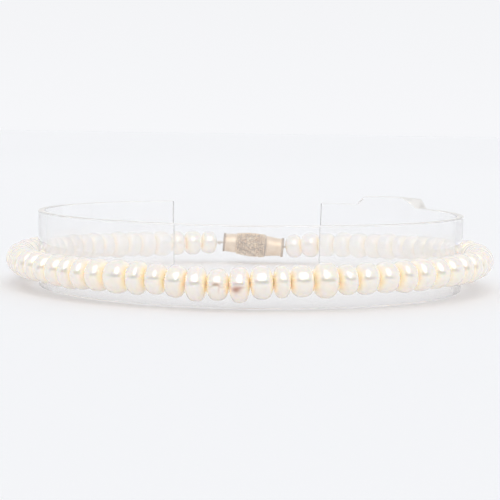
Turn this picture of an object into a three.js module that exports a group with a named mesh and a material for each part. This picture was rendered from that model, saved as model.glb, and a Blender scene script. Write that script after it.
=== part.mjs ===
// Pearl bracelet on a clear display ring.
//
// Frame: millimetres, +Z up. The display ring stands on its lower rim at
// z = 0, its axis is the Z axis. -Y is the front of the bracelet, +Y is the
// back, where the barrel clasp sits. Angles along the string are measured
// round the Z axis from the front (-Y), positive towards +X.

import * as THREE from 'three';

// ---------------------------------------------------------------- dimensions

// String of pearls
const STRING_RADIUS = 30.2;      // centre line of the pearls round the Z axis
const CENTRING = [-0.022, 0.313]; // puts the middle of the whole part on the Z axis
const SEGMENTS_AROUND = 12;      // facets round each pearl
const NECK_RADIUS = 0.5;         // where two button pearls meet
const STRAND_GAP = 0.15;         // each strand stops this much short of its end

// Angle where the charted front pearls start, and where the string ends
const FRONT_START = -66.5;       // degrees
const LEFT_END = -169.9;         // degrees, last pearl left of the clasp
const RIGHT_END = 169.5;         // degrees, last pearl right of the clasp

// Height of the string's centre line above the rim the ring stands on
const STRING_HEIGHT = [
  // angle_deg, height
  [-180, 3.24],
  [-170, 3.18],
  [-150, 3.12],
  [-120, 3.35],
  [-90, 3.48],
  [-60, 3.42],
  [-45, 3.36],
  [-30, 3.46],
  [-20, 3.44],
  [-12, 3.10],
  [-2.5, 3.08],
  [3, 3.42],
  [15, 3.62],
  [30, 3.74],
  [45, 3.82],
  [60, 3.90],
  [90, 4.04],
  [120, 3.84],
  [150, 3.40],
  [162, 3.12],
  [170, 2.66],
  [180, 2.50],
];

// The pearls of the front, left to right: size along and across the string
const FRONT_PEARLS = [
  // thickness, diameter
  [2.70, 3.85],
  [2.35, 3.80],
  [2.64, 3.80],
  [2.80, 3.86],
  [2.17, 3.95],
  [2.28, 3.90],
  [2.57, 3.92],
  [3.05, 3.96],
  [2.32, 3.88],
  [2.43, 3.64],
  [2.44, 3.71],
  [2.40, 4.15],
  [2.56, 3.80],
  [2.35, 4.08],
  [2.63, 3.93],
  [1.95, 3.78],
  [2.66, 3.71],
  [2.91, 4.09],
  [2.30, 3.76],
  [2.73, 3.75],
  [2.79, 3.70],
  [2.53, 3.92],
  [3.00, 3.96],
  [2.70, 3.85],
  [2.97, 3.88],
  [2.71, 3.80],
];

// The pearls of the sides and back, from the clasp forward; the rows repeat
// and their thickness is scaled to fill the string
const BACK_PEARLS = [
  // thickness, diameter
  [2.42, 3.50],
  [2.69, 3.70],
  [2.58, 3.62],
  [2.79, 3.78],
  [2.74, 3.82],
  [2.50, 3.70],
  [2.70, 3.88],
];
const BACK_PEARLS_PER_SIDE = 21;

// How many pearls each strand holds, from the clasp's left round the front
const STRAND_COUNTS = [8, 9, 8, 9, 9, 8, 9, 8];

// Outline of a button pearl: place along its thickness, share of its radius
const PEARL_OUTLINE = [
  // along, radius
  [-0.34, 0.82],
  [0.00, 1.00],
  [0.34, 0.82],
];

// Display ring: a C-shaped band of clear plastic, open behind the clasp
const RING_HEIGHT = 9.7;
const RING_OUTER_BOTTOM = 27.85;
const RING_OUTER_TOP = 28.02;
const RING_WALL = 0.9;
const RING_END_RIGHT = 22.5;     // degrees from the back (+Y) towards +X
const RING_END_LEFT = 25.0;      // degrees from the back (+Y) towards -X
const RING_STEP = 2.5;           // degrees for each facet of the wall

// Tab on the rim of the display ring, angles from the back towards +X. Its
// far end is cut at a slant, so the wall's inner side drops before its outer
const TAB_OUTSIDE = [
  // angle_deg, height
  [35.0, 0.0],
  [37.5, 1.25],
  [50.0, 1.42],
  [60.0, 1.35],
  [62.5, 0.0],
];
const TAB_INSIDE = [
  // angle_deg, height
  [35.0, 0.0],
  [37.5, 1.25],
  [52.5, 1.42],
  [60.0, 0.0],
];

// Barrel clasp, along its own axis from its middle
const CLASP_CENTRE = [0.45, 29.83, 2.88];
const CLASP_TILT = 4.4;          // degrees, the end at +X lower
const CLASP_SEGMENTS = 28;
const CLASP_HOLE = 0.6;          // radius of the hole the thread goes in
const CLASP_BORE = 0.95;         // radius of the socket inside the barrel
const CLASP_POST = 0.6;          // radius of the plug's post

const BARREL_PROFILE = [
  // along, radius
  [-3.40, 0.00],
  [-3.40, CLASP_HOLE],
  [-4.67, CLASP_HOLE],
  [-4.67, 1.34],
  [-4.60, 1.42],
  [-4.34, 1.42],
  [-4.24, 1.30],
  [-3.90, 1.36],
  [-2.95, 1.45],
  [-2.25, 1.50],
  [-2.05, 1.58],
  [-1.20, 1.70],
  [-0.20, 1.76],
  [0.80, 1.76],
  [1.55, 1.70],
  [1.87, 1.62],
  [1.87, CLASP_BORE],
  [-1.60, CLASP_BORE],
  [-1.60, 0.00],
];

const PLUG_PROFILE = [
  // along, radius
  [-1.10, 0.00],
  [-1.10, CLASP_POST],
  [2.02, CLASP_POST],
  [2.02, 1.56],
  [2.30, 1.52],
  [3.00, 1.40],
  [3.70, 1.33],
  [4.24, 1.30],
  [4.34, 1.46],
  [4.60, 1.46],
  [4.67, 1.38],
  [4.67, CLASP_HOLE],
  [3.40, CLASP_HOLE],
  [3.40, 0.00],
];

// Thread between the last pearl and the clasp, with its knot
const THREAD_ROOM = 0.30;        // clear of the last pearl
const THREAD_PROFILE = [
  // along from the pearl, radius
  [0.00, 0.00],
  [0.00, 0.20],
  [0.08, 0.38],
  [0.30, 0.38],
  [0.42, 0.20],
  [1.45, 0.20],
  [1.45, 0.00],
];

// ----------------------------------------------------------------- materials

const pearlMaterial = new THREE.MeshStandardMaterial({
  name: 'pearl', color: 0xf0e6d8, roughness: 0.25, metalness: 0.0 });
const plasticMaterial = new THREE.MeshStandardMaterial({
  name: 'clear_plastic', color: 0xe6ebf2, roughness: 0.08, metalness: 0.0,
  transparent: true, opacity: 0.3 });
const goldMaterial = new THREE.MeshStandardMaterial({
  name: 'gold', color: 0xc98a35, roughness: 0.28, metalness: 1.0 });
const threadMaterial = new THREE.MeshStandardMaterial({
  name: 'thread', color: 0xd9cdb8, roughness: 0.85, metalness: 0.0 });

// ------------------------------------------------------------------- helpers

const rad = THREE.MathUtils.degToRad;
const degreesOf = (length) => THREE.MathUtils.radToDeg(length / STRING_RADIUS);

// Value of a table of [place, value] rows, with a smooth step between rows
function along(table, place) {
  if (place <= table[0][0]) return table[0][1];
  for (let i = 1; i < table.length; i += 1) {
    const [a, va] = table[i - 1];
    const [b, vb] = table[i];
    if (place <= b) {
      const t = (place - a) / (b - a);
      return va + (vb - va) * t * t * (3 - 2 * t);
    }
  }
  return table[table.length - 1][1];
}

// The same with straight lines between rows
function straight(table, place) {
  if (place <= table[0][0] || place >= table[table.length - 1][0]) return 0;
  for (let i = 1; i < table.length; i += 1) {
    const [a, va] = table[i - 1];
    const [b, vb] = table[i];
    if (place <= b) return va + (vb - va) * (place - a) / (b - a);
  }
  return 0;
}

// A turned shape made straight along Y, its length in degrees of the string,
// bent round the Z axis so that its axis follows the string
function bendAlongString(geometry) {
  const position = geometry.attributes.position;
  for (let i = 0; i < position.count; i += 1) {
    const across = position.getX(i);
    const angle = position.getY(i);
    const upward = position.getZ(i);
    const radius = STRING_RADIUS + across;
    position.setXYZ(i,
      radius * Math.sin(rad(angle)),
      -radius * Math.cos(rad(angle)),
      along(STRING_HEIGHT, angle) + upward);
  }
  geometry.computeVertexNormals();
  return geometry;
}

// -------------------------------------------------------------- pearl chart

// All pearls in order: start and end angle, thickness and diameter
function chartPearls() {
  const rows = [];
  const side = (start, end) => {
    const list = [];
    for (let i = 0; i < BACK_PEARLS_PER_SIDE; i += 1) {
      list.push(BACK_PEARLS[i % BACK_PEARLS.length]);
    }
    const total = list.reduce((sum, row) => sum + row[0], 0);
    const scale = (rad(Math.abs(end - start)) * STRING_RADIUS) / total;
    return list.map(([thickness, diameter]) => [thickness * scale, diameter]);
  };
  const frontLength = FRONT_PEARLS.reduce((sum, row) => sum + row[0], 0);
  const frontEnd = FRONT_START + degreesOf(frontLength);
  const left = side(LEFT_END, FRONT_START);
  const right = side(frontEnd, RIGHT_END).reverse();
  let angle = LEFT_END;
  for (const [thickness, diameter] of [...left, ...FRONT_PEARLS, ...right]) {
    const next = angle + degreesOf(thickness);
    rows.push({ start: angle, end: next, diameter });
    angle = next;
  }
  return rows;
}

// One strand: pearls in a row, joined at their necks, turned as one profile
function makeStrand(name, pearls) {
  const inset = degreesOf(STRAND_GAP);
  const first = pearls[0].start + inset;
  const last = pearls[pearls.length - 1].end - inset;
  const profile = [new THREE.Vector2(0, first), new THREE.Vector2(NECK_RADIUS, first)];
  pearls.forEach((pearl, index) => {
    const middle = (pearl.start + pearl.end) / 2;
    for (const [place, share] of PEARL_OUTLINE) {
      profile.push(new THREE.Vector2(
        share * pearl.diameter / 2,
        middle + place * (pearl.end - pearl.start)));
    }
    const end = index === pearls.length - 1 ? last : pearl.end;
    profile.push(new THREE.Vector2(NECK_RADIUS, end));
  });
  profile.push(new THREE.Vector2(0, last));
  const geometry = new THREE.LatheGeometry(profile, SEGMENTS_AROUND);
  const mesh = new THREE.Mesh(bendAlongString(geometry), pearlMaterial);
  mesh.name = name;
  return mesh;
}

// A stretch of thread with its knot, from the last pearl into the clasp
function makeThread(name, pearlEnd, direction) {
  const points = THREAD_PROFILE.map(([place, radius]) => new THREE.Vector2(
    radius, pearlEnd + direction * degreesOf(THREAD_ROOM + place)));
  if (direction < 0) points.reverse();
  const geometry = new THREE.LatheGeometry(points, 8);
  const mesh = new THREE.Mesh(bendAlongString(geometry), threadMaterial);
  mesh.name = name;
  return mesh;
}

// ------------------------------------------------------------- display ring

// Arc of a circle round the Z axis, angle from the back (+Y) towards +X
class RingArc extends THREE.Curve {
  constructor(radius, startDeg, endDeg) {
    super();
    this.radius = radius;
    this.startDeg = startDeg;
    this.endDeg = endDeg;
  }
  getPoint(t, target = new THREE.Vector3()) {
    const angle = rad(this.startDeg + (this.endDeg - this.startDeg) * t);
    return target.set(this.radius * Math.sin(angle), this.radius * Math.cos(angle), 0);
  }
}

// The band is a rectangle swept round the arc, then flared and given its tab
function makeDisplayRing() {
  const start = RING_END_RIGHT;
  const end = 360 - RING_END_LEFT;
  const half = RING_HEIGHT / 2;
  const middle = RING_OUTER_BOTTOM - RING_WALL / 2;
  const section = new THREE.Shape();
  section.moveTo(-half, -RING_WALL / 2);
  section.lineTo(half, -RING_WALL / 2);
  section.lineTo(half, RING_WALL / 2);
  section.lineTo(-half, RING_WALL / 2);
  section.closePath();
  const steps = Math.round((end - start) / RING_STEP);
  const geometry = new THREE.ExtrudeGeometry(section, {
    steps, bevelEnabled: false, extrudePath: new RingArc(middle, start, end) });
  const position = geometry.attributes.position;
  for (let i = 0; i < position.count; i += 1) {
    const x = position.getX(i);
    const y = position.getY(i);
    let z = position.getZ(i) + half;
    const radius = Math.hypot(x, y);
    const angle = (THREE.MathUtils.radToDeg(Math.atan2(x, y)) + 360) % 360;
    const tab = radius > middle ? TAB_OUTSIDE : TAB_INSIDE;
    if (z > half) z += straight(tab, Math.round(angle * 100) / 100);
    const flare = (RING_OUTER_TOP - RING_OUTER_BOTTOM) * z / RING_HEIGHT;
    const grown = (radius + flare) / radius;
    position.setXYZ(i, x * grown, y * grown, z);
  }
  geometry.computeVertexNormals();
  const mesh = new THREE.Mesh(geometry, plasticMaterial);
  mesh.name = 'display_ring';
  return mesh;
}

// -------------------------------------------------------------------- clasp

// A turned half of the clasp, its axis laid along X
function turnClasp(name, table) {
  const points = table.map(([place, radius]) => new THREE.Vector2(radius, place));
  const geometry = new THREE.LatheGeometry(points, CLASP_SEGMENTS);
  geometry.rotateZ(-Math.PI / 2);
  const mesh = new THREE.Mesh(geometry, goldMaterial);
  mesh.name = name;
  return mesh;
}

function makeClasp() {
  const clasp = new THREE.Group();
  clasp.add(turnClasp('clasp_barrel', BARREL_PROFILE));
  clasp.add(turnClasp('clasp_plug', PLUG_PROFILE));
  clasp.position.set(...CLASP_CENTRE);
  clasp.rotation.y = rad(CLASP_TILT);
  return clasp;
}

// ------------------------------------------------------------------ assembly

const bracelet = new THREE.Group();

bracelet.add(makeDisplayRing());

const pearls = chartPearls();
let firstPearl = 0;
STRAND_COUNTS.forEach((count, index) => {
  bracelet.add(makeStrand(
    `pearl_strand_${index + 1}`, pearls.slice(firstPearl, firstPearl + count)));
  firstPearl += count;
});

bracelet.add(makeThread('thread_end_left', LEFT_END, -1));
bracelet.add(makeThread('thread_end_right', RIGHT_END, 1));
bracelet.add(makeClasp());

bracelet.position.set(CENTRING[0], CENTRING[1], 0);

export default bracelet;
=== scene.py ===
"""Looks of the pearl bracelet on its clear display ring.

All sizes below are millimetres until they reach a mesh, which is in metres.
"""
import math

import bpy
import numpy as np
from mathutils import Matrix, Vector


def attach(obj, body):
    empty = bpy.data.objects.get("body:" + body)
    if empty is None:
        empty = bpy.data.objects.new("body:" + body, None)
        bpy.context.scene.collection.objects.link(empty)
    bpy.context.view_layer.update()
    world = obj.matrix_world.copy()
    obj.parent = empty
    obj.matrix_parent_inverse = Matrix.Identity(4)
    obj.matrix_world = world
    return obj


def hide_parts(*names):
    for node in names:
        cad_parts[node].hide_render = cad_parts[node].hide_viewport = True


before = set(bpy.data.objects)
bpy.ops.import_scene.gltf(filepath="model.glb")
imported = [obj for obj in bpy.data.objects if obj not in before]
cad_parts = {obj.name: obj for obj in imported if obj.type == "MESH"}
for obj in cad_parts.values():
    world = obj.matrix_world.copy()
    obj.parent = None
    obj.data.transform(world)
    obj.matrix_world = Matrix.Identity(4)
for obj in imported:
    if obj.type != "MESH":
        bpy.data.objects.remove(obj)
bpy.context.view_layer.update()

MM = 0.001
CENTRING = np.array([-0.022, 0.313, 0.0])

# ------------------------------------------------------------------ dimensions

STRING_RADIUS = 30.2
FRONT_START = -66.5
LEFT_END = -169.9
RIGHT_END = 169.5

STRING_HEIGHT = [
    # angle_deg, height
    (-180, 3.24),
    (-170, 3.18),
    (-150, 3.12),
    (-120, 3.35),
    (-90, 3.48),
    (-60, 3.42),
    (-45, 3.36),
    (-30, 3.46),
    (-20, 3.44),
    (-12, 3.10),
    (-2.5, 3.08),
    (3, 3.42),
    (15, 3.62),
    (30, 3.74),
    (45, 3.82),
    (60, 3.90),
    (90, 4.04),
    (120, 3.84),
    (150, 3.40),
    (162, 3.12),
    (170, 2.66),
    (180, 2.50),
]

# thickness, diameter, squareness, lean (degrees, top towards the left), tone
FRONT_PEARLS = [
    (2.70, 3.85, 2.3, 0, 0.5),
    (2.35, 3.80, 2.3, 0, 0.4),
    (2.64, 3.80, 2.3, 0, 0.6),
    (2.80, 3.86, 2.3, 0, 0.5),
    (2.17, 3.95, 2.3, 0, 0.3),
    (2.28, 3.90, 2.3, 0, 0.5),
    (2.57, 3.92, 2.3, 0, 0.6),
    (3.05, 3.96, 2.4, 0, 0.4),
    (2.32, 3.88, 2.5, 0, 0.5),
    (2.43, 3.64, 2.4, 0, 0.3),
    (2.44, 3.71, 2.5, 0, 0.7),
    (2.40, 4.15, 2.5, 0, 0.2),
    (2.56, 3.80, 2.3, 0, 0.4),
    (2.35, 4.08, 2.5, 0, 0.1),
    (2.63, 3.93, 2.5, 0, 0.5),
    (1.95, 3.78, 2.4, 0, 0.8),
    (2.66, 3.71, 2.5, 0, 0.6),
    (2.91, 4.09, 2.4, 0, 0.9),
    (2.30, 3.76, 2.4, 8, 0.7),
    (2.73, 3.75, 2.3, 0, 0.5),
    (2.79, 3.70, 2.3, 0, 0.4),
    (2.53, 3.92, 2.4, 0, 0.6),
    (3.00, 3.96, 2.3, 0, 0.5),
    (2.70, 3.85, 2.3, 0, 0.4),
    (2.97, 3.88, 2.3, 0, 0.6),
    (2.71, 3.80, 2.3, 0, 0.5),
]
WAVY_PEARL = 12      # front pearl with a wavy reddish mark
SPOT_PEARL = 13      # front pearl with a brown spot

BACK_PEARLS = [
    # thickness, diameter
    (2.42, 3.50),
    (2.69, 3.70),
    (2.58, 3.62),
    (2.79, 3.78),
    (2.74, 3.82),
    (2.50, 3.70),
    (2.70, 3.88),
]
BACK_PEARLS_PER_SIDE = 21
STRAND_COUNTS = [8, 9, 8, 9, 9, 8, 9, 8]
HOLE_RADIUS = 0.30

RING_HEIGHT = 9.7
RING_OUTER_BOTTOM = 27.85
RING_OUTER_TOP = 28.02
RING_WALL = 0.9
RING_END_RIGHT = 22.5
RING_END_LEFT = 25.0
TAB_OUTSIDE = [
    # angle_deg, height
    (35.0, 0.0),
    (37.5, 1.25),
    (50.0, 1.42),
    (60.0, 1.35),
    (62.5, 0.0),
]
TAB_INSIDE = [
    # angle_deg, height
    (35.0, 0.0),
    (37.5, 1.25),
    (52.5, 1.42),
    (60.0, 0.0),
]

CLASP_CENTRE = np.array([0.45, 29.83, 2.88])
CLASP_TILT = 4.4

# --------------------------------------------------------------------- helpers


def along(table, place):
    """Value of a table of rows at a place, with a smooth step between rows."""
    if place <= table[0][0]:
        return table[0][1]
    for (a, va), (b, vb) in zip(table, table[1:]):
        if place <= b:
            t = (place - a) / (b - a)
            return va + (vb - va) * t * t * (3 - 2 * t)
    return table[-1][1]


def straight(table, place):
    if place <= table[0][0] or place >= table[-1][0]:
        return 0.0
    for (a, va), (b, vb) in zip(table, table[1:]):
        if place <= b:
            return va + (vb - va) * (place - a) / (b - a)
    return 0.0


def string_point(angle, out=0.0, up=0.0):
    """A point on the string at an angle, moved outwards and upwards."""
    a = math.radians(angle)
    r = STRING_RADIUS + out
    return np.array([r * math.sin(a), -r * math.cos(a), along(STRING_HEIGHT, angle) + up])


def string_frame(angle):
    """Along, outward and upward directions of the string at an angle."""
    ahead = string_point(angle + 0.2) - string_point(angle - 0.2)
    t = ahead / np.linalg.norm(ahead)
    a = math.radians(angle)
    n = np.array([math.sin(a), -math.cos(a), 0.0])
    n = n - t * np.dot(n, t)
    n /= np.linalg.norm(n)
    u = np.cross(n, t)
    if u[2] < 0:
        u = -u
    return t, n, u


def make_object(name, verts, faces, materials, smooth=True, indices=None):
    mesh = bpy.data.meshes.new(name)
    pts = (np.asarray(verts, dtype=float) + CENTRING) * MM
    mesh.from_pydata(pts.tolist(), [], [list(map(int, f)) for f in faces])
    mesh.update()
    for material in materials:
        mesh.materials.append(material)
    mesh.polygons.foreach_set("use_smooth", [smooth] * len(mesh.polygons))
    if indices is not None:
        mesh.polygons.foreach_set("material_index", list(indices))
    obj = bpy.data.objects.new(name, mesh)
    bpy.context.collection.objects.link(obj)
    return obj


def fix_normals(obj):
    import bmesh
    bm = bmesh.new()
    bm.from_mesh(obj.data)
    bmesh.ops.recalc_face_normals(bm, faces=bm.faces)
    bm.to_mesh(obj.data)
    bm.free()


def grid_faces(rows, cols, start=0, close_rows=False):
    """Quads between rows of a grid whose columns close on themselves."""
    faces = []
    last = rows if close_rows else rows - 1
    for i in range(last):
        a = start + i * cols
        b = start + ((i + 1) % rows) * cols
        for j in range(cols):
            k = (j + 1) % cols
            faces.append((a + j, a + k, b + k, b + j))
    return faces


# ------------------------------------------------------------------- materials


def new_material(name):
    material = bpy.data.materials.new(name)
    material.use_nodes = True
    nodes = material.node_tree.nodes
    return material, nodes, material.node_tree.links, nodes["Principled BSDF"]


def noise(nodes, links, coord, scale, detail=3.0, rough=0.5, distortion=0.0):
    tex = nodes.new("ShaderNodeTexNoise")
    tex.inputs["Scale"].default_value = scale
    tex.inputs["Detail"].default_value = detail
    tex.inputs["Roughness"].default_value = rough
    tex.inputs["Distortion"].default_value = distortion
    links.new(coord, tex.inputs["Vector"])
    return tex


def ramp(nodes, links, source, stops):
    node = nodes.new("ShaderNodeValToRGB")
    elements = node.color_ramp.elements
    elements[0].position, elements[0].color = stops[0][0], (*stops[0][1], 1)
    elements[1].position, elements[1].color = stops[-1][0], (*stops[-1][1], 1)
    for place, colour in stops[1:-1]:
        e = elements.new(place)
        e.color = (*colour, 1)
    links.new(source, node.inputs["Fac"])
    return node


def mix(nodes, links, factor, a, b, kind="MIX"):
    node = nodes.new("ShaderNodeMix")
    node.data_type = "RGBA"
    node.blend_type = kind
    for socket, value in ((0, factor), (6, a), (7, b)):
        if isinstance(value, (int, float)):
            node.inputs[socket].default_value = value
        elif isinstance(value, tuple):
            node.inputs[socket].default_value = (*value, 1)
        else:
            links.new(value, node.inputs[socket])
    return node.outputs[2]


def map_range(nodes, links, source, lo, hi, new_lo, new_hi):
    node = nodes.new("ShaderNodeMapRange")
    node.inputs["From Min"].default_value = lo
    node.inputs["From Max"].default_value = hi
    node.inputs["To Min"].default_value = new_lo
    node.inputs["To Max"].default_value = new_hi
    links.new(source, node.inputs["Value"])
    return node.outputs["Result"]


def pearl_material():
    material, nodes, links, shader = new_material("nacre")
    coord = nodes.new("ShaderNodeTexCoord").outputs["Object"]
    data = nodes.new("ShaderNodeAttribute")
    data.attribute_name = "nacre"
    parts = nodes.new("ShaderNodeSeparateColor")
    links.new(data.outputs["Color"], parts.inputs["Color"])
    tone, crevice_glow, mark = parts.outputs[0], parts.outputs[1], parts.outputs[2]
    # body colour of each pearl, from pinkish white through cream to yellowish
    body = ramp(nodes, links, tone, [
        (0.0, (0.97, 0.875, 0.84)),
        (0.35, (0.97, 0.90, 0.845)),
        (0.7, (0.97, 0.90, 0.82)),
        (1.0, (0.97, 0.875, 0.785)),
    ])
    # soft cloudy overtone inside each pearl
    cloud = noise(nodes, links, coord, 620.0, 3.0, 0.5, 0.6)
    overtone = ramp(nodes, links, cloud.outputs["Fac"], [
        (0.30, (0.97, 0.84, 0.81)),
        (0.50, (0.97, 0.905, 0.85)),
        (0.70, (0.95, 0.90, 0.85)),
    ])
    colour = mix(nodes, links, 0.35, body.outputs["Color"], overtone.outputs["Color"])
    # painted glow: a lighter warm colour where pearls press on each other, standing in for light bounced
    # between them and passed through the nacre
    warm = nodes.new("ShaderNodeMath")
    warm.operation = "POWER"
    links.new(crevice_glow, warm.inputs[0])
    warm.inputs[1].default_value = 1.5
    colour = mix(nodes, links, warm.outputs[0], colour, (1.0, 0.885, 0.71))
    # natural marks in the nacre
    colour = mix(nodes, links, mark, colour, (0.46, 0.25, 0.18))
    links.new(colour, shader.inputs["Base Color"])
    # painted glow: faint emission over every pearl, strongest where pearls touch, standing in for light
    # passed through the nacre
    glow = mix(nodes, links, crevice_glow, (1.0, 0.93, 0.87), (1.0, 0.77, 0.58))
    links.new(glow, shader.inputs["Emission Color"])
    links.new(map_range(nodes, links, crevice_glow, 0.0, 1.0, 0.02, 0.13),
              shader.inputs["Emission Strength"])
    satin = noise(nodes, links, coord, 900.0, 2.0)
    links.new(map_range(nodes, links, satin.outputs["Fac"], 0.3, 0.7, 0.15, 0.23),
              shader.inputs["Roughness"])
    shader.inputs["Metallic"].default_value = 0.20
    shader.inputs["IOR"].default_value = 1.6
    shader.inputs["Subsurface Weight"].default_value = 0.85
    shader.inputs["Subsurface Radius"].default_value = (1.0, 0.74, 0.48)
    shader.inputs["Subsurface Scale"].default_value = 0.0026
    shader.inputs["Coat Weight"].default_value = 1.0
    shader.inputs["Coat Roughness"].default_value = 0.05
    shader.inputs["Coat IOR"].default_value = 1.75
    shader.inputs["Coat Tint"].default_value = (1.0, 0.975, 0.95, 1)
    grain = noise(nodes, links, coord, 2600.0, 2.0, 0.5, 0.8)
    bump = nodes.new("ShaderNodeBump")
    bump.inputs["Strength"].default_value = 0.08
    bump.inputs["Distance"].default_value = 0.00003
    links.new(grain.outputs["Fac"], bump.inputs["Height"])
    links.new(bump.outputs["Normal"], shader.inputs["Normal"])
    return material


def plastic_material(name, tint, rough_low, rough_high, scratches, clearness):
    material, nodes, links, shader = new_material(name)
    coord = nodes.new("ShaderNodeTexCoord").outputs["Object"]
    shader.inputs["Base Color"].default_value = (*tint, 1)
    shader.inputs["Transmission Weight"].default_value = clearness
    shader.inputs["IOR"].default_value = 1.46
    fine = noise(nodes, links, coord, 260.0, 5.0, 0.6)
    links.new(map_range(nodes, links, fine.outputs["Fac"], 0.35, 0.75, rough_low, rough_high),
              shader.inputs["Roughness"])
    wave = noise(nodes, links, coord, scratches, 4.0, 0.6)
    bump = nodes.new("ShaderNodeBump")
    bump.inputs["Strength"].default_value = 0.05 if rough_high < 0.1 else 0.5
    bump.inputs["Distance"].default_value = 0.00004
    links.new(wave.outputs["Fac"], bump.inputs["Height"])
    links.new(bump.outputs["Normal"], shader.inputs["Normal"])
    return material


def gold_material(name, rough_low, rough_high, grain_scale, grain, dark=(0.72, 0.42, 0.15),
                  middle=(0.86, 0.56, 0.24), bright=(0.93, 0.68, 0.36)):
    material, nodes, links, shader = new_material(name)
    coord = nodes.new("ShaderNodeTexCoord").outputs["Object"]
    wear = noise(nodes, links, coord, 900.0, 4.0, 0.6)
    colour = ramp(nodes, links, wear.outputs["Fac"], [
        (0.30, dark),
        (0.55, middle),
        (0.75, bright),
    ])
    links.new(colour.outputs["Color"], shader.inputs["Base Color"])
    shader.inputs["Metallic"].default_value = 1.0
    links.new(map_range(nodes, links, wear.outputs["Fac"], 0.3, 0.7, rough_low, rough_high),
              shader.inputs["Roughness"])
    fine = noise(nodes, links, coord, grain_scale, 3.0, 0.6)
    bump = nodes.new("ShaderNodeBump")
    bump.inputs["Strength"].default_value = grain
    bump.inputs["Distance"].default_value = 0.00003
    links.new(fine.outputs["Fac"], bump.inputs["Height"])
    links.new(bump.outputs["Normal"], shader.inputs["Normal"])
    return material


def thread_material():
    material, nodes, links, shader = new_material("silk_thread")
    coord = nodes.new("ShaderNodeTexCoord").outputs["Object"]
    fibre = noise(nodes, links, coord, 5200.0, 4.0, 0.7)
    colour = ramp(nodes, links, fibre.outputs["Fac"], [
        (0.3, (0.66, 0.60, 0.52)),
        (0.7, (0.90, 0.87, 0.81)),
    ])
    links.new(colour.outputs["Color"], shader.inputs["Base Color"])
    shader.inputs["Roughness"].default_value = 0.75
    shader.inputs["Sheen Weight"].default_value = 0.4
    bump = nodes.new("ShaderNodeBump")
    bump.inputs["Strength"].default_value = 0.5
    bump.inputs["Distance"].default_value = 0.00003
    links.new(fibre.outputs["Fac"], bump.inputs["Height"])
    links.new(bump.outputs["Normal"], shader.inputs["Normal"])
    return material


NACRE = pearl_material()
PLASTIC = plastic_material("clear_plastic_wall", (0.992, 0.995, 1.0), 0.015, 0.04, 120.0, 0.84)
PLASTIC_CUT = plastic_material("clear_plastic_cut_edge", (0.97, 0.95, 0.91), 0.30, 0.55, 1800.0, 0.40)
# the polished and granulated gold are given paler colours than bare gold: a painted veil of glare over the
# clasp
GOLD = gold_material("gold_polished", 0.46, 0.60, 3000.0, 0.10, (0.80, 0.60, 0.40),
                     (0.89, 0.71, 0.52), (0.94, 0.81, 0.64))
GOLD_GRAIN = gold_material("gold_granulated", 0.20, 0.34, 5200.0, 0.5, (0.72, 0.50, 0.30),
                           (0.88, 0.69, 0.47), (0.98, 0.87, 0.68))
# darker, duller gold: painted shade between the granules and on the rims of the end flanges
GOLD_PAINTED_SHADE = gold_material("gold_painted_shade", 0.45, 0.65, 5200.0, 0.8, (0.28, 0.19, 0.12), (0.40, 0.29, 0.19), (0.56, 0.42, 0.29))
THREAD = thread_material()

# ---------------------------------------------------------------------- pearls


def chart_pearls():
    """Start and end angle, diameter, squareness, lean, tone and marks of each pearl."""
    rng = np.random.default_rng(11)

    def side(start, end):
        rows = [BACK_PEARLS[i % len(BACK_PEARLS)] for i in range(BACK_PEARLS_PER_SIDE)]
        scale = math.radians(abs(end - start)) * STRING_RADIUS / sum(r[0] for r in rows)
        return [(t * scale, d, float(rng.uniform(2.4, 2.8)), float(rng.normal(0, 2.0)),
                 float(rng.uniform(0.1, 0.9)), None) for t, d in rows]

    front_length = sum(row[0] for row in FRONT_PEARLS)
    front_end = FRONT_START + math.degrees(front_length / STRING_RADIUS)
    left = side(LEFT_END, FRONT_START)
    right = side(front_end, RIGHT_END)[::-1]
    front = [(*row, i) for i, row in enumerate(FRONT_PEARLS)]
    rows, angle = [], LEFT_END
    for thickness, diameter, square, lean, tone, index in [*left, *front, *right]:
        end = angle + math.degrees(thickness / STRING_RADIUS)
        rows.append(dict(start=angle, end=end, diameter=diameter, square=square,
                         lean=lean, tone=tone, index=index))
        angle = end
    return rows


def marks(index, s, beta):
    """Strength of a natural mark at a place: s runs along the string from -1 to 1,
    beta is the angle round the pearl from its outermost point, positive upwards."""
    if index == WAVY_PEARL:
        line = 0.10 * np.cos(s * 5.2) + 0.02
        one = np.exp(-((beta - line) / 0.085) ** 2) * np.clip(1.1 - np.abs(s) * 1.1, 0, 1)
        hook = np.exp(-((s - 0.28) / 0.10) ** 2) * np.exp(-((beta + 0.22) / 0.20) ** 2)
        top = np.exp(-((beta - 0.36) / 0.07) ** 2) * np.exp(-((s - 0.25) / 0.28) ** 2)
        return np.clip(0.55 * one + 0.35 * hook + 0.35 * top, 0, 0.7)
    if index == SPOT_PEARL:
        spot = np.exp(-((s + 0.24) / 0.46) ** 2 - ((beta + 0.16) / 0.20) ** 2)
        tail = np.exp(-((s - 0.30) / 0.34) ** 2 - ((beta + 0.05) / 0.08) ** 2)
        return np.clip(1.0 * spot + 0.45 * tail, 0, 1)
    return np.zeros_like(s)


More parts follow.
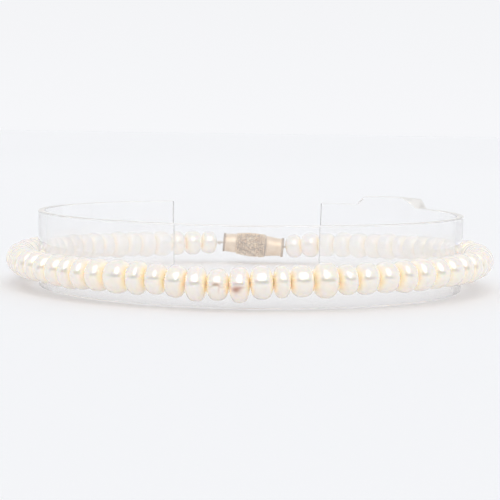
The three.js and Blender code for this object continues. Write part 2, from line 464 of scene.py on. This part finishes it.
def pearl(row, number):
    """Points, quads and surface data of one drilled button pearl."""
    rng = np.random.default_rng(1000 + number)
    thickness = math.radians(row["end"] - row["start"]) * STRING_RADIUS * 0.995
    half, radius = thickness / 2, row["diameter"] / 2
    marked = row["index"] in (WAVY_PEARL, SPOT_PEARL)
    around, rows = (128, 64) if marked else (56, 34)
    power = 2.0 / (row["square"] + 0.3)
    start = math.asin(min(1.0, (HOLE_RADIUS / radius) ** (1 / power)))
    u = np.linspace(start, math.pi - start, rows)
    s = half * np.sign(np.cos(u)) * np.abs(np.cos(u)) ** power * -1
    r = radius * np.abs(np.sin(u)) ** power
    beta = np.linspace(0, 2 * math.pi, around, endpoint=False)
    S, B = np.meshgrid(s, beta, indexing="ij")
    Rr = np.meshgrid(r, beta, indexing="ij")[0]
    # unit direction, for the soft unevenness of a grown pearl
    D = np.stack([S / half, Rr * np.cos(B) / radius, Rr * np.sin(B) / radius], -1)
    swell = np.zeros_like(S)
    for amount, pitch in ((0.030, 1.7), (0.020, 3.0), (0.010, 5.2), (0.0035, 10.0)):
        way = rng.normal(size=3)
        way /= np.linalg.norm(way)
        swell += amount * np.sin(pitch * (D @ way) + rng.uniform(0, 6.28))
    fade = np.clip((Rr / radius - 0.2) / 0.5, 0, 1)
    rings = 0.0035 * np.sin(S / half * rng.uniform(7, 11) + rng.uniform(0, 6.28))
    lift = (swell - 0.02 + rings) * fade
    mark = marks(row["index"], S / half, (B + math.pi) % (2 * math.pi) - math.pi)
    lift = lift - 0.035 * mark * fade
    Rr = Rr + lift
    S = S * (1 + 0.02 * np.sin(B + rng.uniform(0, 6.28)) * fade)
    # inside of the drilled hole, closing the solid
    inner = np.stack([np.full(around, s[-1] - 0.06), np.full(around, s[0] + 0.06)])
    S = np.vstack([S, inner])
    Rr = np.vstack([Rr, np.full((2, around), HOLE_RADIUS - 0.04)])
    B = np.vstack([B, B[:2]])
    tone = np.full(S.shape, row["tone"])
    # mask of the painted glow: the ends of each pearl, where it touches its neighbours, and the inside of
    # the hole
    crevice_glow = np.clip((np.abs(S) / half - 0.55) / 0.38, 0, 1)
    crevice_glow[-2:] = 1.0
    mark = np.vstack([mark, np.zeros((2, around))])
    # squash slightly and turn into the string's frame
    middle = (row["start"] + row["end"]) / 2
    t, n, up = string_frame(middle)
    lean = math.radians(row["lean"])
    yaw = math.radians(rng.normal(0, 1.2))
    t2 = t * math.cos(lean) + up * math.sin(lean)
    up2 = up * math.cos(lean) - t * math.sin(lean)
    t3 = t2 * math.cos(yaw) + n * math.sin(yaw)
    n3 = n * math.cos(yaw) - t2 * math.sin(yaw)
    oval = 1 + rng.uniform(-0.015, 0.015)
    centre = string_point(middle)
    points = (centre
              + S[..., None] * t3
              + (Rr * np.cos(B))[..., None] * n3 / oval
              + (Rr * np.sin(B))[..., None] * up2 * oval)
    data = np.stack([tone, crevice_glow, mark, np.ones_like(tone)], -1)
    return points.reshape(-1, 3), grid_faces(rows + 2, around, 0, True), data.reshape(-1, 4)


def strand(name, rows, first):
    verts, faces, data, count = [], [], [], 0
    for i, row in enumerate(rows):
        p, f, d = pearl(row, first + i)
        verts.append(p)
        faces += [tuple(v + count for v in q) for q in f]
        data.append(d)
        count += len(p)
    obj = make_object(name, np.vstack(verts), faces, [NACRE])
    attribute = obj.data.attributes.new("nacre", "FLOAT_COLOR", "POINT")
    attribute.data.foreach_set("color", np.vstack(data).ravel())
    fix_normals(obj)
    return obj


chart = chart_pearls()
first = 0
for number, count in enumerate(STRAND_COUNTS, 1):
    piece = strand("pearls_%d" % number, chart[first:first + count], first)
    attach(piece, "root")
    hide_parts("pearl_strand_%d" % number)
    first += count

# ---------------------------------------------------------------------- thread


def tube(points, radius, sides, lobes=0.0, turns=0.0):
    """A round or two-ply thread along points, with closed ends."""
    points = np.asarray(points)
    n = len(points)
    ahead = np.gradient(points, axis=0)
    ahead /= np.linalg.norm(ahead, axis=1)[:, None]
    verts = []
    side = np.cross(ahead[0], [0.0, 0.0, 1.0])
    if np.linalg.norm(side) < 1e-6:
        side = np.cross(ahead[0], [1.0, 0.0, 0.0])
    side /= np.linalg.norm(side)
    for i in range(n):
        side = side - ahead[i] * np.dot(side, ahead[i])
        side /= np.linalg.norm(side)
        other = np.cross(ahead[i], side)
        for k in range(sides):
            a = 2 * math.pi * k / sides
            r = radius * (1 - lobes * (0.5 - 0.5 * math.cos(2 * (a - turns * i))))
            verts.append(points[i] + r * (math.cos(a) * side + math.sin(a) * other))
    faces = grid_faces(n, sides)
    verts.append(points[0])
    verts.append(points[-1])
    a, b = len(verts) - 2, len(verts) - 1
    for k in range(sides):
        faces.append((a, (k + 1) % sides, k))
        faces.append((b, (n - 1) * sides + k, (n - 1) * sides + (k + 1) % sides))
    return np.array(verts), faces


def knot(angle, size):
    """A small overhand knot round the thread."""
    t, n, up = string_frame(angle)
    centre = string_point(angle)
    points = []
    for k in range(97):
        a = 2 * math.pi * k / 96
        x = math.sin(a) + 2 * math.sin(2 * a)
        y = math.cos(a) - 2 * math.cos(2 * a)
        z = -math.sin(3 * a)
        points.append(centre + size * (x * n + y * up) / 3 + size * 0.45 * z * t)
    return tube(points[:-1], 0.085, 8)


def join(parts):
    verts, faces, count = [], [], 0
    for p, f in parts:
        verts.append(p)
        faces += [tuple(v + count for v in q) for q in f]
        count += len(p)
    return np.vstack(verts), faces


steps = 1500
route = [string_point(a) for a in np.linspace(LEFT_END - 3.2, RIGHT_END + 3.2, steps)]
verts, faces = join([
    tube(route, 0.17, 12, 0.30, 0.42),
    knot(LEFT_END - 0.95, 0.26),
    knot(RIGHT_END + 0.85, 0.22),
])
thread = make_object("bead_thread", verts, faces, [THREAD])
fix_normals(thread)
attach(thread, "root")
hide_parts("thread_end_left", "thread_end_right")

# ---------------------------------------------------------------- display ring


def display_ring():
    """The band as a rounded section swept round its arc, with the tab on its rim."""
    corner, curve = 0.14, 4
    half = RING_WALL / 2
    # section: (radial from the wall's middle, height), counter-clockwise
    section = []
    for cx, cz, start in ((half - corner, corner, -90), (half - corner, RING_HEIGHT - corner, 0),
                          (-half + corner, RING_HEIGHT - corner, 90), (-half + corner, corner, 180)):
        for k in range(curve + 1):
            a = math.radians(start + 90 * k / curve)
            section.append((cx + corner * math.cos(a), cz + corner * math.sin(a)))
    # rows up the walls, so that the flare and shading stay even
    extra = []
    for i, point in enumerate(section):
        extra.append(point)
        nxt = section[(i + 1) % len(section)]
        if abs(nxt[1] - point[1]) > 3:
            # rows close to the corners keep the shading of the flat walls flat
            for f in (0.003, 0.01, 0.2, 0.4, 0.6, 0.8, 0.99, 0.997):
                extra.append((point[0], point[1] + (nxt[1] - point[1]) * f))
    section = extra
    cols = len(section)
    start, end = RING_END_RIGHT, 360 - RING_END_LEFT
    count = 330
    inset = math.degrees(corner / RING_OUTER_BOTTOM)
    angles = list(np.linspace(start + inset, end - inset, count))
    mid = RING_OUTER_BOTTOM - half
    verts = []

    def add_row(angle, shrink):
        a = math.radians(angle)
        tabs = [sum(straight(table, angle + o) for o in (-0.4, -0.2, 0.0, 0.2, 0.4)) / 5
                for table in (TAB_INSIDE, TAB_OUTSIDE)]
        for radial, z in section:
            if shrink:
                radial *= (half - shrink) / half
                z = RING_HEIGHT / 2 + (z - RING_HEIGHT / 2) * (RING_HEIGHT / 2 - shrink) / (RING_HEIGHT / 2)
            share = max(0.0, z - RING_HEIGHT / 2) / (RING_HEIGHT / 2)
            side = min(1.0, max(0.0, 0.5 + radial / (2 * (half - 0.5 * corner))))
            tab = tabs[0] + (tabs[1] - tabs[0]) * side
            z2 = z + tab * share ** 3
            r = mid + radial + (RING_OUTER_TOP - RING_OUTER_BOTTOM) * z2 / RING_HEIGHT
            verts.append((r * math.sin(a), r * math.cos(a), z2))

    # rounded ends: a few rows that shrink towards the end face
    for d in (90, 60, 30):
        a = math.radians(d)
        add_row(start + inset * (1 - math.sin(a)), corner * (1 - math.cos(a)))
    for angle in angles:
        add_row(angle, 0.0)
    for d in (30, 60, 90):
        a = math.radians(d)
        add_row(end - inset * (1 - math.sin(a)), corner * (1 - math.cos(a)))
    rows = len(verts) // cols
    faces = grid_faces(rows, cols)
    faces.append(tuple(range(cols)))
    faces.append(tuple(reversed(range((rows - 1) * cols, rows * cols))))
    # cut faces, the rims and ends, are a little frosted
    indices = []
    for face in faces:
        if len(face) > 4:
            indices.append(1)
            continue
        local = sorted(v % cols for v in face)
        zs = [section[c][1] for c in local]
        rs = [abs(section[c][0]) for c in local]
        indices.append(1 if (min(zs) > RING_HEIGHT - corner * 1.01 or max(zs) < corner * 1.01) and min(rs) < half - corner * 0.4 else 0)
    obj = make_object("clear_ring", verts, faces, [PLASTIC, PLASTIC_CUT], indices=indices)
    fix_normals(obj)
    return obj


ring = display_ring()
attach(ring, "root")
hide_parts("display_ring")
ring.visible_shadow = False
ring.visible_diffuse = False

# ----------------------------------------------------------------------- clasp


def clasp_axes():
    tilt = math.radians(CLASP_TILT)
    a = np.array([math.cos(tilt), 0.0, -math.sin(tilt)])
    u = np.array([math.sin(tilt), 0.0, math.cos(tilt)])
    v = np.array([0.0, 1.0, 0.0])
    return a, v, u


def turned(profile, sides=96):
    """A closed solid turned round the clasp's axis; the profile starts and ends on it."""
    a, v, u = clasp_axes()
    verts, rows = [], profile[1:-1]
    for place, radius in rows:
        for k in range(sides):
            w = 2 * math.pi * k / sides
            verts.append(CLASP_CENTRE + place * a + radius * (math.cos(w) * v + math.sin(w) * u))
    faces = grid_faces(len(rows), sides)
    for tip, row in ((profile[0][0], 0), (profile[-1][0], len(rows) - 1)):
        verts.append(CLASP_CENTRE + tip * a)
        c = len(verts) - 1
        for k in range(sides):
            faces.append((c, row * sides + k, row * sides + (k + 1) % sides))
    return np.array(verts), faces


def rounded(rows, radius=0.06, steps=3):
    """Rounds the corners of a profile."""
    out = [rows[0]]
    for before, here, after in zip(rows, rows[1:], rows[2:]):
        p, q, s = (np.array(x, float) for x in (before, here, after))
        d1, d2 = q - p, s - q
        l1, l2 = np.linalg.norm(d1), np.linalg.norm(d2)
        cut = min(radius, l1 * 0.4, l2 * 0.4)
        a, b = q - d1 / l1 * cut, q + d2 / l2 * cut
        for k in range(steps + 1):
            t = k / steps
            out.append(tuple((1 - t) ** 2 * a + 2 * t * (1 - t) * q + t * t * b))
    out.append(rows[-1])
    return out


BARREL_PROFILE = [
    (-3.40, 0.00), (-3.40, 0.60), (-4.67, 0.60), (-4.67, 1.42), (-4.34, 1.42), (-4.27, 1.30),
    (-4.18, 1.33), (-3.60, 1.39), (-2.95, 1.43), (-2.80, 1.44), (-2.73, 1.37), (-2.66, 1.37),
    (-2.60, 1.46), (-2.02, 1.53), (-1.20, 1.63), (-0.20, 1.68), (0.80, 1.68), (1.45, 1.63),
    (1.90, 1.55), (1.97, 1.54), (1.97, 0.95), (-1.60, 0.95), (-1.60, 0.00),
]
PLUG_PROFILE = [
    (-1.10, 0.00), (-1.10, 0.60), (2.01, 0.60), (2.01, 1.58), (2.16, 1.60), (2.22, 1.52),
    (2.40, 1.50), (3.00, 1.41), (3.70, 1.34), (4.22, 1.31), (4.30, 1.46), (4.67, 1.46),
    (4.67, 0.60), (3.40, 0.60), (3.40, 0.00),
]


def granules():
    """Rows of small soldered gold beads round the middle of the barrel."""
    rng = np.random.default_rng(5)
    a, v, u = clasp_axes()
    parts = []
    pitch = 0.36
    place = -2.46
    row = 0
    while place < 1.86:
        surface = float(np.interp(place, [-2.60, -2.02, -1.2, -0.2, 0.8, 1.45, 1.90],
                                  [1.46, 1.53, 1.63, 1.68, 1.68, 1.63, 1.55]))
        count = int(round(2 * math.pi * surface / pitch))
        for k in range(count):
            w = 2 * math.pi * (k + 0.5 * (row % 2)) / count + rng.normal(0, 0.035)
            size = 0.160 * rng.uniform(0.70, 1.22)
            normal = math.cos(w) * v + math.sin(w) * u
            side = -math.sin(w) * v + math.cos(w) * u
            centre = CLASP_CENTRE + (place + rng.normal(0, 0.040)) * a + (surface - 0.02) * normal
            verts, faces = [], []
            rings, sides = ((4, 8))
            for i in range(rings):
                e = math.pi * 0.5 * i / rings
                for j in range(sides):
                    f = 2 * math.pi * j / sides
                    verts.append(centre + size * (math.cos(e) * (math.cos(f) * a + math.sin(f) * side)
                                                  + math.sin(e) * normal))
            verts.append(centre + size * normal)
            verts.append(centre - size * 0.6 * normal)
            faces += grid_faces(rings, sides)
            top, low = len(verts) - 2, len(verts) - 1
            for j in range(sides):
                faces.append(((rings - 1) * sides + j, (rings - 1) * sides + (j + 1) % sides, top))
                faces.append(((j + 1) % sides, j, low))
            parts.append((np.array(verts), faces))
        place += pitch * 0.87
        row += 1
    return join(parts)


def clasp_piece(name, profile, with_granules):
    rows = rounded(profile, 0.05, 3)
    verts, faces = turned(rows, 112)
    # the rims of the end flanges and the ground between the granules get the darker, duller gold: painted
    # shade
    indices = [0] * len(faces)
    a, _, _ = clasp_axes()
    for i, face in enumerate(faces):
        middle = np.mean([verts[j] for j in face], axis=0) - CLASP_CENTRE
        place = np.dot(middle, a)
        out = np.linalg.norm(middle - a * place)
        if abs(place) > 4.36 and out > 1.37 or -2.61 < place < 1.91 and out > 1.3:
            indices[i] = 2
    if with_granules:
        extra, more = granules()
        base = len(verts)
        faces = faces + [tuple(i + base for i in f) for f in more]
        verts = np.vstack([verts, extra])
        indices += [1] * len(more)
    obj = make_object(name, verts, faces, [GOLD, GOLD_GRAIN, GOLD_PAINTED_SHADE], indices=indices)
    fix_normals(obj)
    return obj


barrel = clasp_piece("clasp_barrel_gold", BARREL_PROFILE, True)
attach(barrel, "root")
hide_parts("clasp_barrel")

plug = clasp_piece("clasp_plug_gold", PLUG_PROFILE, False)
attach(plug, "root")
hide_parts("clasp_plug")

# ----------------------------------------------------------------------- stage

floor_mesh = bpy.data.meshes.new("floor")
half = 4.0
floor_mesh.from_pydata([(-half, -half, 0), (half, -half, 0), (half, half, 0), (-half, half, 0)], [],
                       [(0, 1, 2, 3)])
floor = bpy.data.objects.new("floor", floor_mesh)
floor.location.z = -0.00002
bpy.context.collection.objects.link(floor)
floor_material, nodes, links, shader = new_material("floor_pale")
shader.inputs["Base Color"].default_value = (0.93, 0.935, 0.945, 1)
shader.inputs["Roughness"].default_value = 0.7
shader.inputs["Specular IOR Level"].default_value = 0.2
floor_mesh.materials.append(floor_material)

world = bpy.data.worlds.new("studio")
bpy.context.scene.world = world
world.use_nodes = True
wn, wl = world.node_tree.nodes, world.node_tree.links
background = wn["Background"]
direction = wn.new("ShaderNodeTexCoord")
split = wn.new("ShaderNodeSeparateXYZ")
wl.new(direction.outputs["Generated"], split.inputs[0])
sky = wn.new("ShaderNodeValToRGB")
sky.color_ramp.elements[0].position = 0.0
sky.color_ramp.elements[0].color = (0.925, 0.93, 0.95, 1)
sky.color_ramp.elements[1].position = 0.5
sky.color_ramp.elements[1].color = (0.80, 0.805, 0.82, 1)
wl.new(split.outputs["Z"], sky.inputs["Fac"])
# a darker band low down on the front side, where the room behind the light is seen
band = wn.new("ShaderNodeValToRGB")
band.color_ramp.interpolation = "EASE"
e = band.color_ramp.elements
e[0].position, e[0].color = 0.0, (1, 1, 1, 1)
e[1].position, e[1].color = 0.34, (0, 0, 0, 1)
mid = e.new(0.24)
mid.color = (1, 1, 1, 1)
wl.new(split.outputs["Z"], band.inputs["Fac"])
facing = wn.new("ShaderNodeMapRange")
facing.inputs["From Min"].default_value = -0.2
facing.inputs["From Max"].default_value = -0.7
wl.new(split.outputs["Y"], facing.inputs["Value"])
both = wn.new("ShaderNodeMath")
both.operation = "MULTIPLY"
wl.new(band.outputs["Color"], both.inputs[0])
wl.new(facing.outputs["Result"], both.inputs[1])
dark = wn.new("ShaderNodeMix")
dark.data_type = "RGBA"
wl.new(both.outputs[0], dark.inputs[0])
wl.new(sky.outputs["Color"], dark.inputs[6])
dark.inputs[7].default_value = (0.02, 0.018, 0.018, 1)
wl.new(dark.outputs[2], background.inputs["Color"])
background.inputs["Strength"].default_value = 1.0


def softbox(name, place, target, size, power):
    light = bpy.data.lights.new(name, "AREA")
    light.shape = "RECTANGLE"
    light.size, light.size_y = size
    light.energy = power
    obj = bpy.data.objects.new(name, light)
    obj.location = place
    obj.rotation_euler = (Vector(target) - Vector(place)).to_track_quat("-Z", "Y").to_euler()
    bpy.context.collection.objects.link(obj)
    return obj


sun = bpy.data.lights.new("key", "SUN")
sun.energy = 0.88
sun.angle = math.radians(54)
sun_object = bpy.data.objects.new("key", sun)
sun_object.rotation_euler = Vector((-0.05, 0.72, -0.69)).to_track_quat("-Z", "Y").to_euler()
bpy.context.collection.objects.link(sun_object)
softbox("fill_back", (0.0, 0.50, 0.42), (0, 0, 0.005), (0.7, 0.35), 0.04)

# ---------------------------------------------------------------------- camera

camera_data = bpy.data.cameras.new("camera")
camera_data.sensor_width = 36.0
camera_data.lens = 1479.8 / 500 * 36.0
camera_data.clip_start = 0.01
camera_data.clip_end = 20
camera = bpy.data.objects.new("camera", camera_data)
place = (np.array([-0.05, -196.3, 20.956]) + CENTRING) * MM
camera.matrix_world = (Matrix.Translation(Vector(place))
                       @ Matrix.Rotation(math.pi / 2 - 0.0834, 4, "X")
                       @ Matrix.Rotation(0.0151, 4, "Z"))
bpy.context.collection.objects.link(camera)
bpy.context.scene.camera = camera
bpy.context.scene.view_settings.view_transform = "Standard"
bpy.context.scene.view_settings.look = "None"

bpy.context.view_layer.update()
